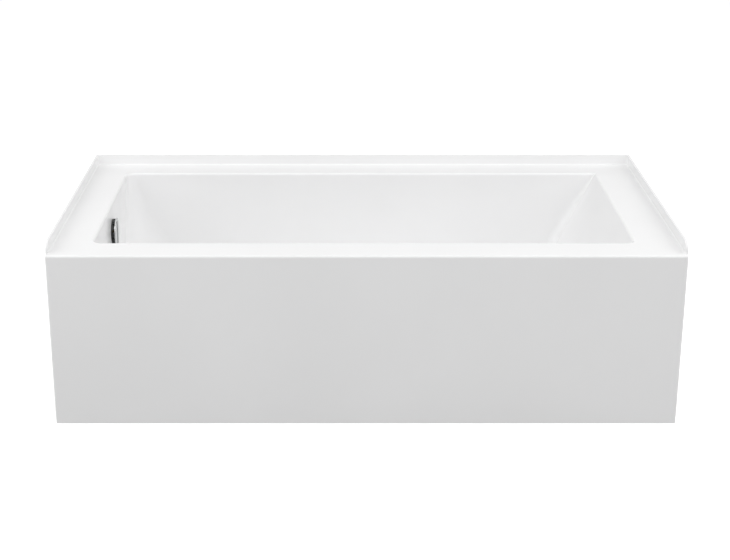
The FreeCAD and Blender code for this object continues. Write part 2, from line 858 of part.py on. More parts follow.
def brace_screw_holes(side):
    """Clearance holes for a brace's screws, through the strap and what lies behind it."""
    into_batten, into_rail = brace_screw_places(side)
    reach = strap_steel + screw_grip + screw_gap
    return fuse("brace_holes", [
        cylinder("batten_hole", screw_radius + screw_gap, reach, into_batten, TOWARDS_APRON),
        cylinder("rail_hole", screw_radius + screw_gap, reach, into_rail, DOWNWARDS)])


def make_brace_screws():
    screws = []
    for side in rail_places:
        into_batten, into_rail = brace_screw_places(side)
        screws.append(screw("brace_screw", strap_steel + screw_grip, into_batten, TOWARDS_APRON))
        screws.append(screw("brace_screw", strap_steel + screw_grip, into_rail, DOWNWARDS))
    group("brace_screws", screws)


# --- waste fitting and plug -----------------------------------------------------

waste_seat = sump_floor + seal_height
waste_top = waste_seat + waste_flange_height
waste_low = waste_seat - waste_barrel_length
washer_low = sump_underside - washer_height
shoe_inner = waste_barrel_radius + socket_gap
shoe_outer = shoe_inner + shoe_wall
socket_bore = pipe_radius + socket_gap
socket_outer = socket_bore + socket_wall
pipe_bore = pipe_radius - pipe_wall
drain_axis = (drain_x, middle_y, 0)
lever_y = middle_y + lever_reach
spider_low = waste_low + spider_height / 2


def make_waste_flange():
    """Dished chrome outlet with a threaded barrel and a spider that guides the plug."""
    flange = turned("waste_turning", [
        (waste_bore_radius, waste_low), (waste_barrel_radius, waste_low),
        (waste_barrel_radius, waste_seat), (waste_flange_radius, waste_seat),
        (waste_flange_radius, waste_top - waste_flange_height / 2),
        (waste_flange_radius - waste_flange_height / 2, waste_top),
        (waste_barrel_radius, waste_top), (waste_bore_radius, waste_seat)])
    place(flange, drain_axis)
    arm = waste_bore_radius + (waste_barrel_radius - waste_bore_radius) / 2
    half = spider_width / 2
    top = spider_low + spider_height
    along = box("spider_along", drain_x - arm, drain_x + arm, middle_y - half, middle_y + half,
                spider_low, top)
    across = box("spider_across", drain_x - half, drain_x + half, middle_y - arm, middle_y + arm,
                 spider_low, top)
    hub = cylinder("spider_hub", spider_hub_radius, spider_height, (drain_x, middle_y, spider_low))
    guide = cylinder("spider_guide", plug_stem_radius + thread_gap, waste_barrel_length * 2,
                     (drain_x, middle_y, waste_low - waste_barrel_length / 2))
    whole = fuse("waste_with_spider", [flange, along, across, hub])
    finish(cut("waste_guided", whole, guide), "waste_flange")


def make_shoe():
    """Waste shoe under the tub, with its side outlet towards the drain end."""
    body = turned("shoe_turning", [
        (0, shoe_base_height), (shoe_outer - shoe_wall, shoe_base_height),
        (shoe_outer, shoe_base_height + shoe_wall), (shoe_outer, washer_low - shoe_flange_height),
        (shoe_flange_radius, washer_low - shoe_flange_height), (shoe_flange_radius, washer_low),
        (0, washer_low)])
    place(body, drain_axis)
    axis = (drain_x, middle_y, pipe_axis_height)
    outlet = cylinder("shoe_outlet", socket_outer, shoe_outlet_reach, axis, UP_TO_OUTSIDE)
    core = cylinder("shoe_core", shoe_inner, washer_low - shoe_base_height,
                    (drain_x, middle_y, shoe_base_height + shoe_wall))
    way = cylinder("shoe_way", pipe_bore, shoe_outlet_reach, axis, UP_TO_OUTSIDE)
    socket = cylinder("shoe_socket", socket_bore, socket_depth * 2,
                      (drain_x - shoe_outlet_reach + socket_depth, middle_y, pipe_axis_height),
                      UP_TO_OUTSIDE)
    pin_hole = cylinder("shoe_pin_hole", lever_pin_radius, shoe_outer * 2,
                        (drain_x - shoe_outer, lever_y, lever_height), UP_TO_INSIDE)
    gland_end = shoe_outer + ferrule_grip
    centre = (drain_x, middle_y, push_pin_height)
    gland = cylinder("shoe_gland", ferrule_radius + gland_wall, gland_end, centre, TOWARDS_BACK)
    gland_hole = cylinder("shoe_gland_hole", ferrule_radius, ferrule_grip * 2,
                          (drain_x, middle_y + shoe_outer, push_pin_height), TOWARDS_BACK)
    pin_way = cylinder("shoe_pin_way", push_pin_radius + thread_gap, gland_end, centre, TOWARDS_BACK)
    whole = fuse("shoe_fused", [body, outlet, gland])
    ways = [core, way, socket, pin_hole, gland_hole, pin_way]
    finish(cut("shoe_bored", whole, fuse("shoe_ways", ways)), "waste_shoe")


def make_waste_seals():
    seal = ring("seal", waste_barrel_radius + socket_gap, waste_flange_radius, sump_floor, waste_seat)
    place(seal, drain_axis)
    finish(seal, "waste_seal")
    washer = ring("washer", waste_barrel_radius + socket_gap, shoe_flange_radius,
                  washer_low, sump_underside)
    place(washer, drain_axis)
    finish(washer, "shoe_washer")


def make_lifter():
    """Bell crank that lifts the plug, and the pin that it rocks on."""
    pin_length = root(shoe_outer * shoe_outer - lever_reach * lever_reach) * 2 - socket_gap * 4
    finish(cylinder("pin", lever_pin_radius, pin_length,
                    (drain_x - pin_length / 2, lever_y, lever_height), UP_TO_INSIDE), "lifter_pin")
    low_x = drain_x - lever_width / 2
    high_x = drain_x + lever_width / 2
    eye = cylinder("lifter_eye", lever_radius, lever_width, (low_x, lever_y, lever_height), UP_TO_INSIDE)
    half = lever_thickness / 2
    arm = box("lifter_arm", low_x, high_x, middle_y - half, lever_y,
              lever_height - half, lever_height + half)
    drop = box("lifter_drop", low_x, high_x, lever_y - half, lever_y + half,
               lever_height - lever_drop, lever_height)
    bore = cylinder("lifter_bore", lever_pin_radius + thread_gap, lever_width * 2,
                    (low_x - lever_width / 2, lever_y, lever_height), UP_TO_INSIDE)
    finish(cut("lifter_bored", fuse("lifter_fused", [eye, arm, drop]), bore), "lifter_crank")
    pin_front = lever_y + half + plug_clearance
    finish(cylinder("push_pin_bar", push_pin_radius, push_pin_length,
                    (drain_x, pin_front, push_pin_height), TOWARDS_BACK), "cable_push_pin")


def make_plug():
    """Chrome plug cap, its rubber seal, and the stem that passes the spider."""
    seal_low = waste_top + plug_clearance
    seal_high = seal_low + plug_seal_height
    hub = plug_seal_radius * 0.56
    cap = turned("cap", [(0, seal_low), (hub, seal_low), (hub, seal_high), (plug_radius, seal_high),
                         (plug_radius, seal_high + plug_height / 3),
                         (plug_radius - plug_height / 2, seal_high + plug_height * 0.8),
                         (hub, seal_high + plug_height), (0, seal_high + plug_height)])
    place(cap, drain_axis)
    finish(cap, "plug_cap")
    seal = ring("plug_ring", hub, plug_seal_radius, seal_low, seal_high)
    place(seal, drain_axis)
    finish(seal, "plug_seal")
    stem_low = lever_height + lever_thickness / 2 + plug_clearance
    nut_high = seal_low - waste_flange_height
    stem = cylinder("stem", plug_stem_radius, seal_low - stem_low, (drain_x, middle_y, stem_low))
    finish(stem, "plug_stem")
    nut = doc.addObject("PartDesign::Body", "stem_nut_body")
    drawing = sketch_on(nut, "XY_Plane")
    circle(hexagon(drawing, plug_stem_radius * 3.4), plug_stem_radius)
    pad(nut, drawing, plug_stem_radius)
    place(nut, (drain_x, middle_y, nut_high - plug_stem_radius / 2))
    finish(nut, "plug_lock_nut")


# --- waste and overflow pipes ---------------------------------------------------

overflow_x = left_wall_at(overflow_height, shell_wall)
drum_front = overflow_x - gasket_height
riser_x = left_wall_x - overflow_pipe_offset + shell_wall * 3
drum_axis = (drum_front, middle_y, overflow_height)
screw_rows_y = (middle_y - inlet_screw_spread, middle_y + inlet_screw_spread)
cable_x = drum_front - cable_setback
cable_y = middle_y + cable_offset
gland_low = overflow_height - drum_radius + ferrule_grip / 2
riser_socket_low = overflow_height - drum_radius - socket_depth
tee_reach = socket_outer + socket_depth + socket_wall * 2
tee_top = pipe_axis_height + tee_reach
shoe_socket_x = drain_x - shoe_outlet_reach
tee_socket_x = riser_x + tee_reach


def make_tee():
    """Tee at the foot of the overflow pipe, with the outlet spigot below."""
    axis = (riser_x, middle_y, pipe_axis_height)
    spigot_top = pipe_axis_height - socket_outer - outlet_shoulder
    upright = cylinder("tee_upright", socket_outer, tee_top - spigot_top, (riser_x, middle_y, spigot_top))
    spigot = cylinder("tee_spigot", pipe_radius, spigot_top - outlet_height,
                      (riser_x, middle_y, outlet_height))
    branch = cylinder("tee_branch", socket_outer, tee_reach, axis, UP_TO_INSIDE)
    ways = [cylinder("tee_way", pipe_bore, tee_top, (riser_x, middle_y, outlet_height / 2)),
            cylinder("tee_side_way", pipe_bore, tee_reach, axis, UP_TO_INSIDE),
            cylinder("tee_top_socket", socket_bore, socket_depth * 2,
                     (riser_x, middle_y, tee_top - socket_depth)),
            cylinder("tee_side_socket", socket_bore, socket_depth * 2,
                     (tee_socket_x - socket_depth, middle_y, pipe_axis_height), UP_TO_INSIDE)]
    finish(cut("tee_bored", fuse("tee_fused", [upright, spigot, branch]), fuse("tee_ways", ways)),
           "waste_tee")


def make_pipes():
    grip = socket_depth * 0.8
    waste_length = shoe_socket_x - tee_socket_x + grip * 2
    waste = ring("waste_tube", pipe_bore, pipe_radius, as_size(0), waste_length)
    place(waste, (tee_socket_x - grip, middle_y, pipe_axis_height), UP_TO_INSIDE)
    finish(waste, "waste_pipe")
    riser_length = riser_socket_low - tee_top + grip * 2
    riser = ring("riser_tube", pipe_bore, pipe_radius, as_size(0), riser_length)
    place(riser, (riser_x, middle_y, tee_top - grip))
    finish(riser, "overflow_pipe")


def slip_nut(label, position, rotation):
    """Slip-joint nut, its closed lip pointing along the pipe."""
    nut = doc.addObject("PartDesign::Body", label)
    drawing = sketch_on(nut, "XY_Plane")
    circle(hexagon(drawing, slip_nut_radius * root(as_size(3))), pipe_radius + socket_gap)
    pad(nut, drawing, slip_nut_length)
    recess = sketch_on(nut, "XY_Plane")
    circle(recess, socket_outer + socket_gap)
    pocket(nut, recess, slip_nut_length - slip_nut_lip)
    place(nut, position, rotation)
    return nut


def make_slip_joints():
    """Nuts and taper washers at the four slip joints."""
    back = slip_nut_length - slip_nut_lip - slip_washer_height
    joints = [((shoe_socket_x, middle_y, pipe_axis_height), UP_TO_OUTSIDE, (1, 0, 0)),
              ((tee_socket_x, middle_y, pipe_axis_height), UP_TO_INSIDE, (-1, 0, 0)),
              ((riser_x, middle_y, tee_top), Rotation(), (0, 0, -1)),
              ((riser_x, middle_y, riser_socket_low), DOWNWARDS, (0, 0, 1))]
    nuts = []
    washers = []
    for mouth, rotation, inward in joints:
        nut_at = [value + back * sign for value, sign in zip(mouth, inward)]
        nuts.append(slip_nut("slip_nut", nut_at, rotation))
        washer = ring("slip_washer", pipe_radius + socket_gap, socket_outer, as_size(0), slip_washer_height)
        place(washer, mouth, rotation)
        washers.append(washer)
    group("slip_nuts", nuts)
    group("slip_washers", washers)


# --- overflow fitting -------------------------------------------------------------

def trim_to_wall(piece, outside, keep_outer):
    """Cut a turned piece along the sloping end wall, so that it seats flat on it.

    The piece's own X points down and its own Z into the tub, from the elbow's face.
    """
    far = gasket_radius * 2
    beyond = far if keep_outer else -far
    line = [(own_x, left_wall_at(overflow_height - own_x, outside) - drum_front) for own_x in (-far, far)]
    drawing = sketch_on(piece, "XZ_Plane")
    polygon(drawing, line + [(far, beyond), (-far, beyond)])
    pocket(piece, drawing)


def make_overflow_elbow():
    """Drum behind the wall: collects the overflow water and houses the cable drive."""
    inner = drum_radius - drum_wall
    body = turned("elbow_turning", [
        (0, -drum_length), (drum_radius, -drum_length), (drum_radius, -elbow_flange_height),
        (gasket_radius, -elbow_flange_height), (gasket_radius, 0), (inner, 0),
        (inner, -drum_length + drum_wall), (0, -drum_length + drum_wall)])
    place(body, drum_axis, UP_TO_INSIDE)
    outlet = cylinder("elbow_outlet", socket_outer, overflow_height - riser_socket_low,
                      (riser_x, middle_y, riser_socket_low))
    hollow = cylinder("elbow_hollow", inner, drum_length - drum_wall,
                      (drum_front, middle_y, overflow_height), UP_TO_OUTSIDE)
    way = cylinder("elbow_way", pipe_bore, overflow_height - riser_socket_low,
                   (riser_x, middle_y, riser_socket_low))
    socket = cylinder("elbow_socket", socket_bore, socket_depth * 2,
                      (riser_x, middle_y, riser_socket_low - socket_depth))
    gland = cylinder("elbow_gland", ferrule_radius + gland_wall, overflow_height - gland_low,
                     (cable_x, cable_y, gland_low))
    gland_hole = cylinder("elbow_gland_hole", ferrule_radius, ferrule_grip,
                          (cable_x, cable_y, gland_low))
    shell = cut("elbow_hollowed", fuse("elbow_fused", [body, outlet, gland]),
                fuse("elbow_ways", [hollow, way, socket, gland_hole]))
    posts = []
    screw_holes = []
    post_length = drum_length - drum_wall - inlet_spigot
    back_x = drum_front - drum_length + drum_wall
    for y in screw_rows_y:
        posts.append(cylinder("elbow_post", inlet_screw_radius * 2.2, post_length - socket_gap,
                              (back_x, y, overflow_height), UP_TO_INSIDE))
        screw_holes.append(cylinder("elbow_screw_hole", inlet_screw_radius + thread_gap, post_length,
                                    (back_x + drum_wall, y, overflow_height), UP_TO_INSIDE))
    with_posts = fuse("elbow_with_posts", [shell] + posts)
    finish(cut("elbow_bored", with_posts, fuse("elbow_screw_holes", screw_holes)), "overflow_elbow")


inlet_spigot_radius = drum_radius - drum_wall - socket_gap
inlet_bore = inlet_spigot_radius - inlet_wall
wall_front = gasket_height + shell_wall
plate_top = wall_front + inlet_wall
inlet_front = wall_front + inlet_height
bridge_low = plate_top - bridge_height
knob_back = inlet_front + knob_gap


def on_drum(own_z, y=middle_y, height=overflow_height):
    """A place on the overflow fitting, at a distance in front of the elbow's face."""
    return (drum_front + own_z, y, height)


def make_gasket():
    """Wedge-shaped gasket between the elbow and the sloping back of the wall."""
    gasket = ring("gasket", inlet_spigot_radius + screw_gap, gasket_radius, as_size(0), gasket_height * 2)
    place(gasket, drum_axis, UP_TO_INSIDE)
    trim_to_wall(gasket, shell_wall, keep_outer=True)
    finish(gasket, "overflow_gasket")


def make_inlet_ring():
    """Black ring round the opening, with water slots hidden behind the knob."""
    rim = turned("inlet_rim", [
        (inlet_bore, gasket_height), (inlet_radius, gasket_height), (inlet_radius, inlet_front),
        (inlet_radius - inlet_wall, inlet_front), (inlet_radius - inlet_wall, plate_top),
        (inlet_bore, plate_top)])
    place(rim, drum_axis, UP_TO_INSIDE)
    trim_to_wall(rim, 0, keep_outer=False)
    tube = ring("inlet_tube", inlet_bore, inlet_spigot_radius, gasket_height - inlet_spigot, plate_top)
    place(tube, drum_axis, UP_TO_INSIDE)
    reach = inlet_bore + inlet_wall / 2
    half = bridge_width / 2
    bridge = box("inlet_bridge", drum_front + bridge_low, drum_front + plate_top,
                 middle_y - reach, middle_y + reach, overflow_height - half, overflow_height + half)
    boss = cylinder("inlet_boss", knob_hub_radius, bridge_height + bridge_boss_height,
                    on_drum(bridge_low), UP_TO_INSIDE)
    holes = [cylinder("spindle_way", spindle_radius + thread_gap, inlet_front, on_drum(0), UP_TO_INSIDE)]
    for y in screw_rows_y:
        holes.append(cylinder("screw_way", inlet_screw_radius + thread_gap, inlet_front,
                              on_drum(0, y), UP_TO_INSIDE))
    holes.append(inlet_slots())
    whole = fuse("inlet_fused", [rim, tube, bridge, boss])
    finish(cut("inlet_bored", whole, fuse("inlet_ways", holes)), "inlet_ring")


INLET_SLOT_PAIRS = 5


def inlet_slots():
    """Slots through the ring's rim, each bar cutting two that face each other."""
    slots = doc.addObject("PartDesign::Body", "slot_bars")
    drawing = sketch_on(slots, "XY_Plane")
    half = inlet_slot_width / 2
    rectangle(drawing, -inlet_radius * 1.2, inlet_radius * 1.2, -half, half)
    bar = pad(slots, drawing, inlet_slot_height)
    pattern = slots.newObject("PartDesign::PolarPattern", "slot_pattern")
    pattern.Originals = [bar]
    pattern.Axis = (drawing, ["N_Axis"])
    pattern.Angle = 180 - 180 / INLET_SLOT_PAIRS
    pattern.Occurrences = INLET_SLOT_PAIRS
    slots.Tip = pattern
    doc.recompute()
    hub = cylinder("slot_hub", inlet_radius - inlet_wall - socket_gap, inlet_slot_height)
    place(slots, on_drum(plate_top), UP_TO_INSIDE)
    return cut("slot_cutters", slots, hub)


def make_inlet_screws():
    """Two screws that draw the ring and the elbow together through the wall."""
    screws = []
    for y in screw_rows_y:
        head = inlet_screw_radius * 1.9
        piece = turned("inlet_screw", [
            (0, -inlet_screw_length), (inlet_screw_radius, -inlet_screw_length), (inlet_screw_radius, 0),
            (head, 0), (head, inlet_screw_radius / 2), (head / 2, inlet_screw_radius),
            (0, inlet_screw_radius)])
        place(piece, on_drum(plate_top, y), UP_TO_INSIDE)
        screws.append(piece)
    group("inlet_screws", screws)


def make_knob():
    """Chrome turning knob: a thin cap with a finger ridge across its face."""
    knob = turned("knob_body", [
        (0, plate_top + bridge_boss_height + knob_gap),
        (knob_hub_radius, plate_top + bridge_boss_height + knob_gap),
        (knob_hub_radius, knob_back), (knob_radius, knob_back), (knob_radius, knob_back + knob_edge),
        (knob_radius * 0.6, knob_back + knob_edge + knob_crown), (0, knob_back + knob_edge + knob_crown)])
    rim = float(knob_back + knob_edge)
    round_edges(knob, knob_edge / 2, lambda edge: abs(edge.BoundBox.ZMin - rim) < ON_PLACE
                and edge.BoundBox.XLength > float(knob_radius))
    ridge = sketch_on(knob, "XY_Plane", knob_back + knob_edge)
    rectangle(ridge, -knob_ridge_length / 2, knob_ridge_length / 2,
              -knob_ridge_width / 2, knob_ridge_width / 2)
    pad(knob, ridge, knob_crown + knob_ridge_height)
    top = float(knob_back + knob_edge + knob_crown + knob_ridge_height)
    round_edges(knob, knob_ridge_height / 2, lambda edge: abs(edge.BoundBox.ZMin - top) < ON_PLACE)
    place(knob, drum_axis, UP_TO_INSIDE)
    finish(knob, "control_knob")
    low = -cam_depth - cam_height
    spindle = cylinder("spindle_bar", spindle_radius, plate_top + bridge_boss_height + knob_gap - low,
                       on_drum(low), UP_TO_INSIDE)
    finish(spindle, "knob_spindle")
    disc = cylinder("cam_disc", cam_radius, cam_height, on_drum(-cam_depth), UP_TO_INSIDE)
    crank = cylinder("cam_crank_pin", crank_pin_radius, cam_height,
                     on_drum(-cam_depth - cam_height / 2, middle_y + crank_throw), UP_TO_INSIDE)
    bore = cylinder("cam_bore", spindle_radius, cam_height * 2, on_drum(low), UP_TO_INSIDE)
    finish(cut("cam_bored", fuse("cam_fused", [disc, crank]), bore), "drive_cam")


# --- pull cable -------------------------------------------------------------------

def cable_route():
    """Points of the sheath: down beside the overflow pipe, then round to the shoe's gland."""
    out_y = middle_y + cable_sweep * 4 / 3
    return [(cable_x, cable_y, gland_low + ferrule_grip / 2),
            (cable_x, cable_y, floor_height + cable_sweep * 2 / 3),
            (cable_x + cable_sweep / 6, cable_y + cable_sweep * 0.4, floor_height - sheath_radius * 4),
            (cable_x + cable_sweep * 0.7, cable_y + cable_sweep * 0.7, push_pin_height + sheath_radius * 3),
            (drain_x - cable_sweep * 0.8, out_y, push_pin_height),
            (drain_x, out_y, push_pin_height),
            (drain_x, middle_y + shoe_outer + ferrule_grip / 2, push_pin_height)]


def rounded_path(points):
    """Straight runs joined by tangent arcs, as large as the shorter run allows."""
    edges = []
    start = points[0]
    for before, corner, after in zip(points, points[1:], points[2:]):
        back = (before - corner).normalize()
        ahead = (after - corner).normalize()
        half_turn = (math.pi - back.getAngle(ahead)) / 2
        shorter = min((before - corner).Length, (after - corner).Length)
        setback = 0.45 * shorter
        radius = setback / math.tan(half_turn)
        if radius < float(sheath_radius) * 10:
            raise RuntimeError("the cable is bent too sharply")
        to_middle = (back + ahead).normalize() * (radius / math.cos(half_turn) - radius)
        arc = Part.Arc(corner + back * setback, corner + to_middle, corner + ahead * setback)
        edges.append(Part.LineSegment(start, corner + back * setback).toShape())
        edges.append(arc.toShape())
        start = corner + ahead * setback
    edges.append(Part.LineSegment(start, points[-1]).toShape())
    return Part.Wire(edges)


def make_cable():
    points = [Vector(*[float(value) for value in point]) for point in cable_route()]
    path = rounded_path(points)
    section = Part.Wire(Part.makeCircle(float(sheath_radius), points[0], points[1] - points[0]))
    tube = path.makePipeShell([section], True, True)
    ideal = math.pi * float(sheath_radius) ** 2 * path.Length
    if abs(tube.Volume / ideal - 1) > 0.01:
        raise RuntimeError("the cable's tube has the wrong volume")
    sheath = doc.addObject("Part::Feature", "sheath_tube")
    sheath.Shape = tube
    finish(sheath, "cable_sheath")
    ferrules = [ring("ferrule", sheath_radius + socket_gap, ferrule_radius, as_size(0), ferrule_length)
                for end in range(2)]
    place(ferrules[0], (cable_x, cable_y, gland_low + ferrule_grip - ferrule_length))
    place(ferrules[1], (drain_x, middle_y + shoe_outer, push_pin_height), TOWARDS_BACK)
    group("cable_ferrules", ferrules)


doc.recompute()
make_tub_shell()
make_base()
make_battens()
make_braces()
make_waste_flange()
make_shoe()
make_waste_seals()
make_lifter()
make_plug()
make_tee()
make_pipes()
make_slip_joints()
make_brace_screws()
make_overflow_elbow()
make_gasket()
make_inlet_ring()
make_inlet_screws()
make_knob()
make_cable()
doc.recompute()


# --- write the sub-parts ------------------------------------------------------------

doc.recompute()
for item in doc.Objects:
    if "Invalid" in item.State or "Error" in item.State:
        raise RuntimeError(item.Label + " did not build: " + str(item.State))
os.makedirs("parts", exist_ok=True)
for piece in finished:
    if piece.Shape.isNull() or not piece.Shape.isValid():
        raise RuntimeError(piece.Label + " has no valid shape")
for piece in finished:
    piece.Shape.exportStep("parts/" + piece.Label + ".step")
print(len(finished), "sub-parts written")
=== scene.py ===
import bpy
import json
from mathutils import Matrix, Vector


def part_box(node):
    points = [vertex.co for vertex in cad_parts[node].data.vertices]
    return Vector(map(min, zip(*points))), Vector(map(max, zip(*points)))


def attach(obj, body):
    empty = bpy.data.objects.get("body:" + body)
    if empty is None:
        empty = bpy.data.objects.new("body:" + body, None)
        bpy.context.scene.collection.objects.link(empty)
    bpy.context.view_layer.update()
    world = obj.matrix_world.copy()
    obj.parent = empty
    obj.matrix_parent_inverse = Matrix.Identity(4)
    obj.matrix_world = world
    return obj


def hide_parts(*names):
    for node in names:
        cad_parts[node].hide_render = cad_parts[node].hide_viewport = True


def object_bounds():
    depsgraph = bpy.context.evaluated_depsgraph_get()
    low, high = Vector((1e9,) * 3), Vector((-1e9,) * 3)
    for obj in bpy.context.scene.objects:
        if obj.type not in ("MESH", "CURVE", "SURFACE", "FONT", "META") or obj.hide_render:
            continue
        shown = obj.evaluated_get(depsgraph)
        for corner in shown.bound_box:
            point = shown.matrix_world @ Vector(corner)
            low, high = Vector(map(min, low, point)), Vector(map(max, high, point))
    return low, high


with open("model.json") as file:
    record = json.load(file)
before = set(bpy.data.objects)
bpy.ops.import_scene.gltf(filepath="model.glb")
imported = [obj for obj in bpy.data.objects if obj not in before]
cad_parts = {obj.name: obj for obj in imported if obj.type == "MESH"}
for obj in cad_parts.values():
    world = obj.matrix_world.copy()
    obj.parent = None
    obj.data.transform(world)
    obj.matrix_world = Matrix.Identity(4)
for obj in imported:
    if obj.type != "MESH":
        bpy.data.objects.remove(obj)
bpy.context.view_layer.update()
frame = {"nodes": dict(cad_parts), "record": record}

import json
import math

import bmesh
import bpy
from mathutils import Matrix, Vector

# Looks of the alcove bathtub.  Metres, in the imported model's frame: X along the
# tub with the drain at -X, Y from the apron to the wall, Z up.

MM = 0.001
SHARP_ANGLE = math.radians(32)


# --- node helpers -----------------------------------------------------------------

class Surface:
    """One procedural material: a principled shader and the nodes that feed it."""

    def __init__(self, name, colour, roughness, metallic=0.0):
        self.material = bpy.data.materials.new(name)
        self.material.use_nodes = True
        self.nodes = self.material.node_tree.nodes
        self.links = self.material.node_tree.links
        self.shader = self.nodes["Principled BSDF"]
        self.shader.inputs["Base Color"].default_value = (*colour, 1)
        self.shader.inputs["Roughness"].default_value = roughness
        self.shader.inputs["Metallic"].default_value = metallic
        self.place = self.nodes.new("ShaderNodeTexCoord").outputs["Object"]

    def set(self, name, value):
        self.shader.inputs[name].default_value = value

    def stretched(self, scale):
        mapping = self.nodes.new("ShaderNodeMapping")
        mapping.inputs["Scale"].default_value = scale
        self.links.new(self.place, mapping.inputs["Vector"])
        return mapping.outputs["Vector"]

    def noise(self, scale, detail=3, stretch=(1, 1, 1), roughness=0.5):
        node = self.nodes.new("ShaderNodeTexNoise")
        node.inputs["Scale"].default_value = scale
        node.inputs["Detail"].default_value = detail
        node.inputs["Roughness"].default_value = roughness
        self.links.new(self.stretched(stretch), node.inputs["Vector"])
        return node.outputs["Fac"]

    def cells(self, scale, stretch=(1, 1, 1), output="Color"):
        node = self.nodes.new("ShaderNodeTexVoronoi")
        node.inputs["Scale"].default_value = scale
        self.links.new(self.stretched(stretch), node.inputs["Vector"])
        return node.outputs[output]

    def ramp(self, factor, stops):
        node = self.nodes.new("ShaderNodeValToRGB")
        ramp = node.color_ramp
        while len(ramp.elements) < len(stops):
            ramp.elements.new(0.5)
        for element, (position, colour) in zip(ramp.elements, stops):
            element.position = position
            element.color = (*colour, 1)
        self.links.new(factor, node.inputs["Fac"])
        return node.outputs["Color"]

    def span(self, factor, low, high):
        node = self.nodes.new("ShaderNodeMapRange")
        node.inputs["To Min"].default_value = low
        node.inputs["To Max"].default_value = high
        self.links.new(factor, node.inputs["Value"])
        return node.outputs["Result"]

    def tint(self, output):
        self.links.new(output, self.shader.inputs["Base Color"])

    def rough(self, output):
        self.links.new(output, self.shader.inputs["Roughness"])

    def bump(self, height, distance, strength=1.0):
        """Add a bump; later ones are laid over earlier ones."""
        node = self.nodes.new("ShaderNodeBump")
        node.inputs["Strength"].default_value = strength
        node.inputs["Distance"].default_value = distance
        earlier = self.shader.inputs["Normal"].links
        if earlier:
            self.links.new(earlier[0].from_socket, node.inputs["Normal"])
        self.links.new(height, node.inputs["Height"])
        self.links.new(node.outputs["Normal"], self.shader.inputs["Normal"])


def shades(colour, *factors):
    """Darker and lighter kinds of one colour."""
    return [tuple(min(1.0, channel * factor) for channel in colour) for factor in factors]


# --- materials --------------------------------------------------------------------

WHITE = (0.9, 0.9, 0.902)


def acrylic():
    surface = Surface("acrylic_gloss", WHITE, 0.2)
    low, high = shades(WHITE, 0.985, 1.012)
    surface.tint(surface.ramp(surface.noise(2.2, 2), [(0.35, low), (0.65, high)]))
    surface.rough(surface.span(surface.noise(9, 4), 0.17, 0.27))
    surface.set("IOR", 1.49)
    surface.set("Coat Weight", 0.15)
    surface.set("Coat Roughness", 0.06)
    surface.bump(surface.noise(14, 2), 0.6 * MM, 0.05)
    surface.bump(surface.noise(700, 2), 0.02 * MM, 0.2)
    return surface.material


def laminate():
    """Sprayed glass-fibre backing, with chopped strands under the resin."""
    resin = (0.74, 0.70, 0.58)
    surface = Surface("laminate_back", resin, 0.5)
    dark, middle, light = shades(resin, 0.82, 1.0, 1.12)
    surface.tint(surface.ramp(surface.noise(38, 6, (1, 3, 1.6), 0.7),
                              [(0.3, dark), (0.5, middle), (0.72, light)]))
    surface.rough(surface.span(surface.noise(60, 3), 0.32, 0.68))
    surface.bump(surface.noise(26, 5), 3 * MM, 0.5)
    surface.bump(surface.noise(150, 3, (1, 6, 3)), 0.8 * MM, 0.6)
    surface.bump(surface.noise(150, 3, (6, 1, 2)), 0.8 * MM, 0.6)
    return surface.material


def chip_board():
    """Flat pressed chips of several tones."""
    surface = Surface("board_chips", (0.5, 0.36, 0.22), 0.75)
    chips, longer = 240, (1, 1.7, 1)
    stops = [(0.0, (0.36, 0.24, 0.13)), (0.35, (0.5, 0.36, 0.21)),
             (0.65, (0.6, 0.45, 0.28)), (1.0, (0.7, 0.56, 0.37))]
    surface.tint(surface.ramp(surface.cells(chips, longer), stops))
    surface.rough(surface.span(surface.noise(90, 3), 0.6, 0.88))
    surface.bump(surface.cells(chips, longer, "Distance"), 0.4 * MM, 0.5)
    return surface.material


def softwood():
    """Sawn wood, its grain along X."""
    wood = (0.62, 0.46, 0.28)
    surface = Surface("batten_grain", wood, 0.65)
    grain = surface.noise(55, 6, (0.05, 1.2, 1.2), 0.65)
    stops = [(0.3, (0.44, 0.29, 0.15)), (0.5, wood), (0.68, (0.72, 0.58, 0.39))]
    surface.tint(surface.ramp(grain, stops))
    surface.rough(surface.span(grain, 0.5, 0.8))
    surface.bump(surface.noise(420, 4, (0.03, 1, 1)), 0.25 * MM, 0.6)
    return surface.material


def zinc():
    """Zinc-plated steel with a faint spangle."""
    colour = (0.62, 0.64, 0.66)
    surface = Surface("zinc_plate", colour, 0.35, 1.0)
    low, high = shades(colour, 0.84, 1.1)
    surface.tint(surface.ramp(surface.cells(120), [(0.1, low), (0.9, high)]))
    surface.rough(surface.span(surface.noise(160, 4), 0.24, 0.48))
    surface.bump(surface.noise(500, 3), 0.04 * MM, 0.4)
    return surface.material


def chrome():
    colour = (0.55, 0.556, 0.56)
    surface = Surface("chrome_polish", colour, 0.06, 1.0)
    low, high = shades(colour, 0.96, 1.03)
    surface.tint(surface.ramp(surface.noise(45, 3), [(0.35, low), (0.65, high)]))
    surface.rough(surface.span(surface.noise(260, 4), 0.035, 0.1))
    surface.bump(surface.noise(90, 2), 0.05 * MM, 0.1)
    return surface.material


def brass():
    colour = (0.72, 0.53, 0.25)
    surface = Surface("brass_turned", colour, 0.3, 1.0)
    low, high = shades(colour, 0.8, 1.1)
    surface.tint(surface.ramp(surface.noise(70, 4), [(0.3, low), (0.7, high)]))
    surface.rough(surface.span(surface.noise(300, 3), 0.2, 0.42))
    surface.bump(surface.noise(900, 2), 0.02 * MM, 0.4)
    return surface.material


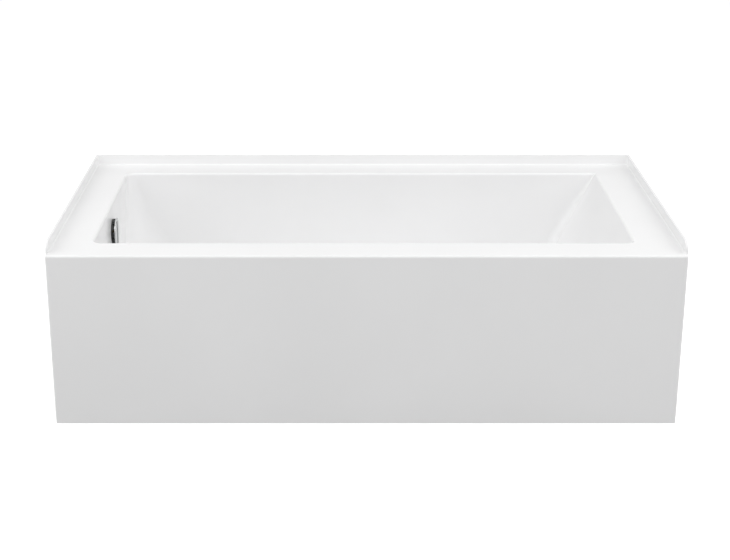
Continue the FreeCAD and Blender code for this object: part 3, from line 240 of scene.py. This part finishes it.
def moulded_black(name, shade, gloss):
    """Black moulded plastic with a fine texture."""
    colour = (shade, shade, shade * 1.05)
    surface = Surface(name, colour, gloss)
    low, high = shades(colour, 0.75, 1.35)
    surface.tint(surface.ramp(surface.noise(60, 4), [(0.35, low), (0.65, high)]))
    surface.rough(surface.span(surface.noise(180, 3), gloss - 0.06, gloss + 0.08))
    surface.bump(surface.noise(1500, 2), 0.03 * MM, 0.5)
    return surface.material


def rubber():
    colour = (0.022, 0.022, 0.024)
    surface = Surface("seal_rubber", colour, 0.75)
    low, high = shades(colour, 0.8, 1.6)
    surface.tint(surface.ramp(surface.noise(110, 4), [(0.35, low), (0.7, high)]))
    surface.rough(surface.span(surface.noise(260, 3), 0.62, 0.88))
    surface.bump(surface.noise(1100, 3), 0.05 * MM, 0.6)
    return surface.material


SLOT_MATERIALS = {
    "acrylic": acrylic(),
    "board": softwood(),
    "zinc_steel": zinc(),
    "foot_plastic": moulded_black("foot_moulding", 0.035, 0.5),
    "chrome": chrome(),
    "brass": brass(),
    "pipe_plastic": moulded_black("pipe_moulding", 0.01, 0.4),
    "seal_rubber": rubber(),
    "sheath_plastic": moulded_black("sheath_moulding", 0.03, 0.42),
}
BACKING = laminate()
CHIPS = chip_board()


def dress_nodes():
    """Give every carried-over node its material and soft shading across its curves."""
    slots = {part["node"]: part["material_slot"] for part in frame["record"]["subparts"]}
    for name, node in frame["nodes"].items():
        material = CHIPS if name == "bottom_board" else SLOT_MATERIALS[slots[name]]
        node.data.materials.clear()
        node.data.materials.append(material)
        node.data.shade_smooth()
        node.data.set_sharp_from_angle(angle=SHARP_ANGLE)


SKIN = 2 * MM
ON_PLANE = 0.1 * MM
LEAST_DECK = 90 * MM
LOOK_ABOVE = 40 * MM


def back_shell():
    """The shell's hidden side is bare laminate: behind the apron, under the deck and basin."""
    shell = frame["nodes"]["tub_shell"]
    low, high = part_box("tub_shell")
    deck_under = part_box("rear_rim_batten")[1].z
    above_basin = Vector((0, 0, high.z + LOOK_ABOVE))
    shell.data.materials.append(BACKING)
    for face in shell.data.polygons:
        middle = face.center
        if middle.z > deck_under + ON_PLANE or middle.z < 2 * ON_PLANE:
            continue
        if middle.y < low.y + SKIN or abs(middle.x) > high.x - SKIN:
            continue
        faces_basin = face.normal.dot(above_basin - middle) > 0
        inside_basin = low.y + LEAST_DECK < middle.y and abs(middle.x) < high.x - LEAST_DECK
        if not (faces_basin and inside_basin):
            face.material_index = 1


# --- fine pieces: threads, drive recesses and chamfers --------------------------------

SAME_POINT = 0.002 * MM


class Form:
    """Points and faces of one piece, in its own axes with Z along it."""

    def __init__(self):
        self.points = []
        self.faces = []

    def add(self, points, faces):
        base = len(self.points)
        self.points += [Vector(point) for point in points]
        self.faces += [[base + index for index in face] for face in faces]
        return self

    def lathe(self, profile, steps=32):
        """Turn (radius, height) points round Z; the profile starts and ends on the axis."""
        rows = len(profile)
        points = []
        for step in range(steps):
            angle = 2 * math.pi * step / steps
            points += [(radius * math.cos(angle), radius * math.sin(angle), height)
                       for radius, height in profile]
        faces = []
        for step in range(steps):
            ahead = (step + 1) % steps
            for row in range(rows - 1):
                faces.append((step * rows + row, ahead * rows + row,
                              ahead * rows + row + 1, step * rows + row + 1))
        return self.add(points, faces)

    def thread(self, low, high, root, crest, pitch, steps=24):
        """Helical ridge on a plain core, running out at both ends."""
        turns = int((high - low) / pitch) - 1
        count = turns * steps
        points = []
        for index in range(count + 1):
            angle = 2 * math.pi * index / steps
            middle = low + pitch * (0.5 + index / steps)
            tip = root + (crest - root) * min(1.0, index / steps, (count - index) / steps)
            section = ((root, middle - pitch / 2), (tip, middle - pitch / 8),
                       (tip, middle + pitch / 8), (root, middle + pitch / 2))
            points += [(radius * math.cos(angle), radius * math.sin(angle), height)
                       for radius, height in section]
        faces = []
        for index in range(count):
            for row in range(3):
                first = index * 4 + row
                faces.append((first, first + 4, first + 5, first + 1))
        return self.add(points, faces)

    def moved(self, matrix):
        self.points = [matrix @ point for point in self.points]
        return self

    def make(self, name):
        """The object, its double points merged and its faces turned outwards."""
        mesh = bpy.data.meshes.new(name)
        mesh.from_pydata(self.points, [], self.faces)
        mesh.validate()
        merged = bmesh.new()
        merged.from_mesh(mesh)
        bmesh.ops.remove_doubles(merged, verts=merged.verts, dist=SAME_POINT)
        bmesh.ops.recalc_face_normals(merged, faces=merged.faces)
        merged.to_mesh(mesh)
        merged.free()
        piece = bpy.data.objects.new(name, mesh)
        bpy.context.scene.collection.objects.link(piece)
        return piece


def carve(piece, tool, operation):
    """Boolean between two pieces, applied to the first; the second is used up."""
    step = piece.modifiers.new("carve", "BOOLEAN")
    step.object = tool
    step.operation = operation
    step.solver = "EXACT"
    graph = bpy.context.evaluated_depsgraph_get()
    shape = bpy.data.meshes.new_from_object(piece.evaluated_get(graph))
    piece.modifiers.remove(step)
    piece.data = shape
    bpy.data.objects.remove(tool)


def stand_for(piece, node):
    """Finish a piece that takes the place of a CAD node."""
    bodies = frame["record"]["behaviour"]["bodies"]
    body = next(name for name, nodes in bodies.items() if node in nodes)
    subparts = frame["record"]["subparts"]
    slot = next(part["material_slot"] for part in subparts if part["node"] == node)
    piece.data.materials.clear()
    piece.data.materials.append(SLOT_MATERIALS[slot])
    piece.data.shade_smooth()
    piece.data.set_sharp_from_angle(angle=SHARP_ANGLE)
    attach(piece, body)
    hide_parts(node)


def solids_of(node):
    """Box corners of each separate solid in a node that holds a group of fasteners."""
    shape = bmesh.new()
    shape.from_mesh(frame["nodes"][node].data)
    bmesh.ops.remove_doubles(shape, verts=shape.verts, dist=SAME_POINT / 2)
    left = set(shape.verts)
    boxes = []
    for start in shape.verts:
        if start not in left:
            continue
        left.remove(start)
        found, ahead = [], [start]
        while ahead:
            vert = ahead.pop()
            found.append(vert.co.copy())
            near = {other for link in vert.link_edges for other in link.verts} & left
            left -= near
            ahead += near
        boxes.append(tuple(Vector([end(spot[axis] for spot in found) for axis in range(3)])
                           for end in (min, max)))
    shape.free()
    return boxes


def joined(name, pieces):
    """One object from several, their places kept in the mesh."""
    mesh = bpy.data.meshes.new(name)
    merged = bmesh.new()
    for piece in pieces:
        merged.from_mesh(piece.data)
        bpy.data.objects.remove(piece)
    merged.to_mesh(mesh)
    merged.free()
    whole = bpy.data.objects.new(name, mesh)
    bpy.context.scene.collection.objects.link(whole)
    return whole


STUD_FOOT = 8 * MM
STUD_FOOT_WIDER = 2 * MM
STUD_COLLAR = 2.5 * MM
COLLAR_SHARE = 0.99
COLLAR_BEVEL = 0.6 * MM
STUD_TIP_BEVEL = 0.8 * MM
STUD_PITCH = 1.75 * MM
THREAD_DEPTH = 0.95 * MM
CREST_INSIDE = 0.03 * MM
THREAD_SHORT = 0.5 * MM


def make_studs():
    """Levelling feet's studs, with their rolled thread and a hexagon to turn them by."""
    for node in [name for name in frame["nodes"] if name.startswith("foot_stud_")]:
        low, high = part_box(node)
        centre = (low + high) / 2
        collar_radius = (high.x - low.x) / 2
        radius = collar_radius / 2
        collar_low = low.z + STUD_FOOT
        collar_high = collar_low + STUD_COLLAR
        foot = radius + STUD_FOOT_WIDER
        root = radius - THREAD_DEPTH
        form = Form()
        form.lathe([(0, low.z), (foot, low.z), (foot, collar_low), (0, collar_low)])
        corner = collar_radius * COLLAR_SHARE
        form.lathe([(0, collar_low), (corner, collar_low), (corner, collar_high - COLLAR_BEVEL),
                    (corner - COLLAR_BEVEL, collar_high), (0, collar_high)], 6)
        form.lathe([(0, collar_high), (root, collar_high), (root, high.z - STUD_TIP_BEVEL),
                    (root - STUD_TIP_BEVEL, high.z), (0, high.z)])
        form.thread(collar_high, high.z - THREAD_SHORT, root, radius - CREST_INSIDE, STUD_PITCH)
        form.moved(Matrix.Translation((centre.x, centre.y, 0)))
        stand_for(form.make("threaded_" + node), node)


BEVEL_SHARE = 0.62
PAST_CORNER = 0.05 * MM
BORE_LIP = 0.7 * MM
BORE_GAP = 0.05 * MM


def hexagon_nut(name, low, high, bore):
    """Nut with chamfered corners, its flats square to Y, and a chamfered bore."""
    centre = (low + high) / 2
    corner = (high.x - low.x) / 2
    flat = corner * math.sqrt(0.75)
    height = high.z - low.z
    bevel = (corner - flat) * BEVEL_SHARE
    nut = Form().lathe([(0, 0), (corner, 0), (corner, height), (0, height)], 6).make(name)
    past = corner + PAST_CORNER
    rounded = Form().lathe([(0, 0), (flat, 0), (past, bevel), (past, height - bevel),
                            (flat, height), (0, height)], 48)
    carve(nut, rounded.make(name + "_round"), "INTERSECT")
    mouth = bore + BORE_LIP + MM
    hole = Form().lathe([(0, -MM), (mouth, -MM), (bore, BORE_LIP), (bore, height - BORE_LIP),
                         (mouth, height + MM), (0, height + MM)])
    carve(nut, hole.make(name + "_hole"), "DIFFERENCE")
    nut.data.transform(Matrix.Translation((centre.x, centre.y, low.z)))
    return nut


def make_nuts():
    """Nuts round the studs; a stud is half as wide as its collar."""
    stud_low, stud_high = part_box("foot_stud_front_left")
    bore = (stud_high.x - stud_low.x) / 4 + BORE_GAP
    for node in ("weld_nuts", "foot_lock_nuts"):
        nuts = [hexagon_nut("nut", low, high, bore) for low, high in solids_of(node)]
        stand_for(joined("chamfered_" + node, nuts), node)


# Shares of a pan head's radius and height, from its edge to its crown.
PAN_HEAD = ((1, 0), (1, 0.35), (0.93, 0.66), (0.74, 0.9), (0.45, 1))
# A recess's reach and half width as shares of the head, its depth as one of the height.
RECESS_REACH, RECESS_HALF, RECESS_DEPTH = 0.56, 0.11, 0.62
RECESS_TAPER = (0.45, 1.25)
BOX_FACES = [(3, 2, 1, 0), (4, 5, 6, 7), (0, 1, 5, 4), (1, 2, 6, 5), (2, 3, 7, 6), (3, 0, 4, 7)]
# Shares of a shank's radius: thread root and crest, then the places where the thread stops.
SHANK_ROOT, SHANK_CREST = 0.72, 0.98
THREAD_TOP, THREAD_FULL, THREAD_END = 1.6, 2, 0.6


def cross_recess(name, head, rise, turn):
    """One bar of the cross that is cut into a head, narrower at its foot."""
    reach, half = head * RECESS_REACH, head * RECESS_HALF
    levels = zip((rise - rise * RECESS_DEPTH, rise + MM), RECESS_TAPER)
    corners = ((-reach, -half), (reach, -half), (reach, half), (-reach, half))
    bar = Form().add([(x * scale, y, z) for z, scale in levels for x, y in corners], BOX_FACES)
    return bar.moved(Matrix.Rotation(turn, 4, "Z")).make(name)


def cross_screw(name, head, rise, shank, length, pitch):
    """Screw with its head above the origin, a cross recess in it and a thread below."""
    dome = [(head * out, rise * up) for out, up in PAN_HEAD]
    top = Form().lathe([(0, 0)] + dome + [(0, rise)], 40).make(name)
    for turn in (0.0, math.pi / 2):
        carve(top, cross_recess(name + "_bar", head, rise, turn), "DIFFERENCE")
    root, crest = shank * SHANK_ROOT, shank * SHANK_CREST
    body = Form()
    body.lathe([(0, -length), (root, -length + shank), (root, -shank * THREAD_FULL),
                (crest, -shank * THREAD_TOP), (crest, 0), (0, 0)], 24)
    body.thread(-length + shank * THREAD_END, -shank * THREAD_TOP, root, crest, pitch, 16)
    return joined(name, [top, body.make(name + "_shank")])


def turn_from_up(direction):
    return Vector((0, 0, 1)).rotation_difference(direction).to_matrix().to_4x4()


# Head radius, head height, shank radius and thread pitch.
WOOD_SCREW = (5 * MM, 3 * MM, 2.5 * MM, 1.9 * MM)
MACHINE_SCREW = (3.8 * MM, 2 * MM, 2 * MM, 0.9 * MM)
# The way each group's heads face, by the axis that the screw lies along.
SCREW_GROUPS = {
    "rail_screws": (WOOD_SCREW, {2: (0, 0, -1)}),
    "brace_screws": (WOOD_SCREW, {1: (0, 1, 0), 2: (0, 0, 1)}),
    "inlet_screws": (MACHINE_SCREW, {0: (1, 0, 0)}),
}


def make_screws():
    """Pan-headed screws in the places of the plain ones, one object for each group."""
    for node, (kind, faces) in SCREW_GROUPS.items():
        head, rise, shank, pitch = kind
        screws = []
        for low, high in solids_of(node):
            size = high - low
            axis = max(range(3), key=lambda index: size[index])
            length = size[axis]
            across = min(size[index] for index in range(3) if index != axis)
            outwards = Vector(faces[axis])
            screw = cross_screw("screw", min(head, across / 2), rise, shank, length - rise, pitch)
            seat = (low + high) / 2 + outwards * (length / 2 - rise)
            screw.data.transform(Matrix.Translation(seat) @ turn_from_up(outwards))
            screws.append(screw)
        stand_for(joined("threaded_" + node, screws), node)


# --- stage, light and camera --------------------------------------------------------

def shown_white(nodes, links, plain, shown):
    """Mix two shaders so that the camera, mirrors and glass see the shown one."""
    path = nodes.new("ShaderNodeLightPath")
    total = path.outputs["Is Camera Ray"]
    for name in ("Is Glossy Ray", "Is Transmission Ray"):
        either = nodes.new("ShaderNodeMath")
        either.operation = "MAXIMUM"
        links.new(total, either.inputs[0])
        links.new(path.outputs[name], either.inputs[1])
        total = either.outputs[0]
    mix = nodes.new("ShaderNodeMixShader")
    links.new(total, mix.inputs["Fac"])
    links.new(plain, mix.inputs[1])
    links.new(shown, mix.inputs[2])
    return mix.outputs["Shader"]


FLOOR_REACH = 14
FLOOR_BELOW = 0.05 * MM
FLOOR_WHITE = 0.84
FLOOR_BOUNCE = 0.45
FLOOR_LIFT = 0.72


def make_floor():
    """Floor that looks white and holds the shadow, but sends little light up to the tub."""
    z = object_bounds()[0].z - FLOOR_BELOW
    corners = [(x * FLOOR_REACH, y * FLOOR_REACH, z) for x, y in ((-1, -1), (1, -1), (1, 1), (-1, 1))]
    mesh = bpy.data.meshes.new("floor")
    mesh.from_pydata(corners, [], [(0, 1, 2, 3)])
    floor = bpy.data.objects.new("floor", mesh)
    bpy.context.scene.collection.objects.link(floor)
    material = bpy.data.materials.new("studio_floor")
    material.use_nodes = True
    nodes, links = material.node_tree.nodes, material.node_tree.links
    nodes.clear()
    plain, diffuse = [nodes.new("ShaderNodeBsdfDiffuse") for use in range(2)]
    plain.inputs["Color"].default_value = (FLOOR_BOUNCE,) * 3 + (1,)
    diffuse.inputs["Color"].default_value = (FLOOR_WHITE,) * 3 + (1,)
    glow = nodes.new("ShaderNodeEmission")
    glow.inputs["Strength"].default_value = FLOOR_LIFT
    both = nodes.new("ShaderNodeAddShader")
    links.new(diffuse.outputs[0], both.inputs[0])
    links.new(glow.outputs[0], both.inputs[1])
    output = nodes.new("ShaderNodeOutputMaterial")
    mixed = shown_white(nodes, links, plain.outputs[0], both.outputs[0])
    links.new(mixed, output.inputs["Surface"])
    mesh.materials.append(material)


WORLD_STRENGTH = 0.29


def make_world():
    """White surroundings that light the tub at a lower strength than they show."""
    world = bpy.data.worlds.new("studio")
    world.use_nodes = True
    bpy.context.scene.world = world
    nodes, links = world.node_tree.nodes, world.node_tree.links
    nodes.clear()
    plain, shown = [nodes.new("ShaderNodeBackground") for use in range(2)]
    for background, strength in ((plain, WORLD_STRENGTH), (shown, 1.0)):
        background.inputs["Color"].default_value = (1, 1, 1, 1)
        background.inputs["Strength"].default_value = strength
    output = nodes.new("ShaderNodeOutputWorld")
    mixed = shown_white(nodes, links, plain.outputs[0], shown.outputs[0])
    links.new(mixed, output.inputs["Surface"])


def area_light(name, place, aim, width, height, power, mirrored=True):
    """Soft lamp; one that isn't mirrored leaves no sheet of glare on the wide deck."""
    data = bpy.data.lights.new(name, "AREA")
    data.shape = "RECTANGLE"
    data.size, data.size_y = width, height
    data.energy = power
    lamp = bpy.data.objects.new(name, data)
    lamp.location = place
    lamp.rotation_euler = (Vector(aim) - Vector(place)).to_track_quat("-Z", "Y").to_euler()
    lamp.visible_glossy = mirrored
    bpy.context.scene.collection.objects.link(lamp)


# The photo's camera, found from the tub's corners: place, tilt, lens and sideways shift.
CAMERA_PLACE = (-0.0547, -3.7863, 1.5909)
CAMERA_DOWN = math.radians(19.784)
FOCAL_PIXELS = 1512.9
IMAGE_WIDTH = 730
OFF_CENTRE_PIXELS = 21.43
SENSOR_WIDTH = 36


def make_camera():
    data = bpy.data.cameras.new("camera")
    data.sensor_width = SENSOR_WIDTH
    data.lens = SENSOR_WIDTH * FOCAL_PIXELS / IMAGE_WIDTH
    data.shift_x = OFF_CENTRE_PIXELS / IMAGE_WIDTH
    camera = bpy.data.objects.new("camera", data)
    camera.location = CAMERA_PLACE
    camera.rotation_euler = (math.pi / 2 - CAMERA_DOWN, 0, 0)
    bpy.context.scene.collection.objects.link(camera)
    bpy.context.scene.camera = camera


dress_nodes()
back_shell()
make_studs()
make_nuts()
make_screws()
make_floor()
make_world()
area_light("overhead", (0.2, 0.5, 3.0), (0, 0.05, 0.3), 4.4, 3.0, 15.5)
area_light("front", (-0.2, -3.0, 3.3), (0, -0.1, 0.3), 5.0, 2.8, 74)
area_light("right", (3.2, -0.6, 2.3), (-0.3, 0, 0.3), 3.4, 2.4, 53, mirrored=False)
area_light("left", (-3.2, -0.6, 2.3), (0.3, 0, 0.3), 3.4, 2.4, 53, mirrored=False)
make_camera()
bpy.context.scene.view_settings.view_transform = "Standard"
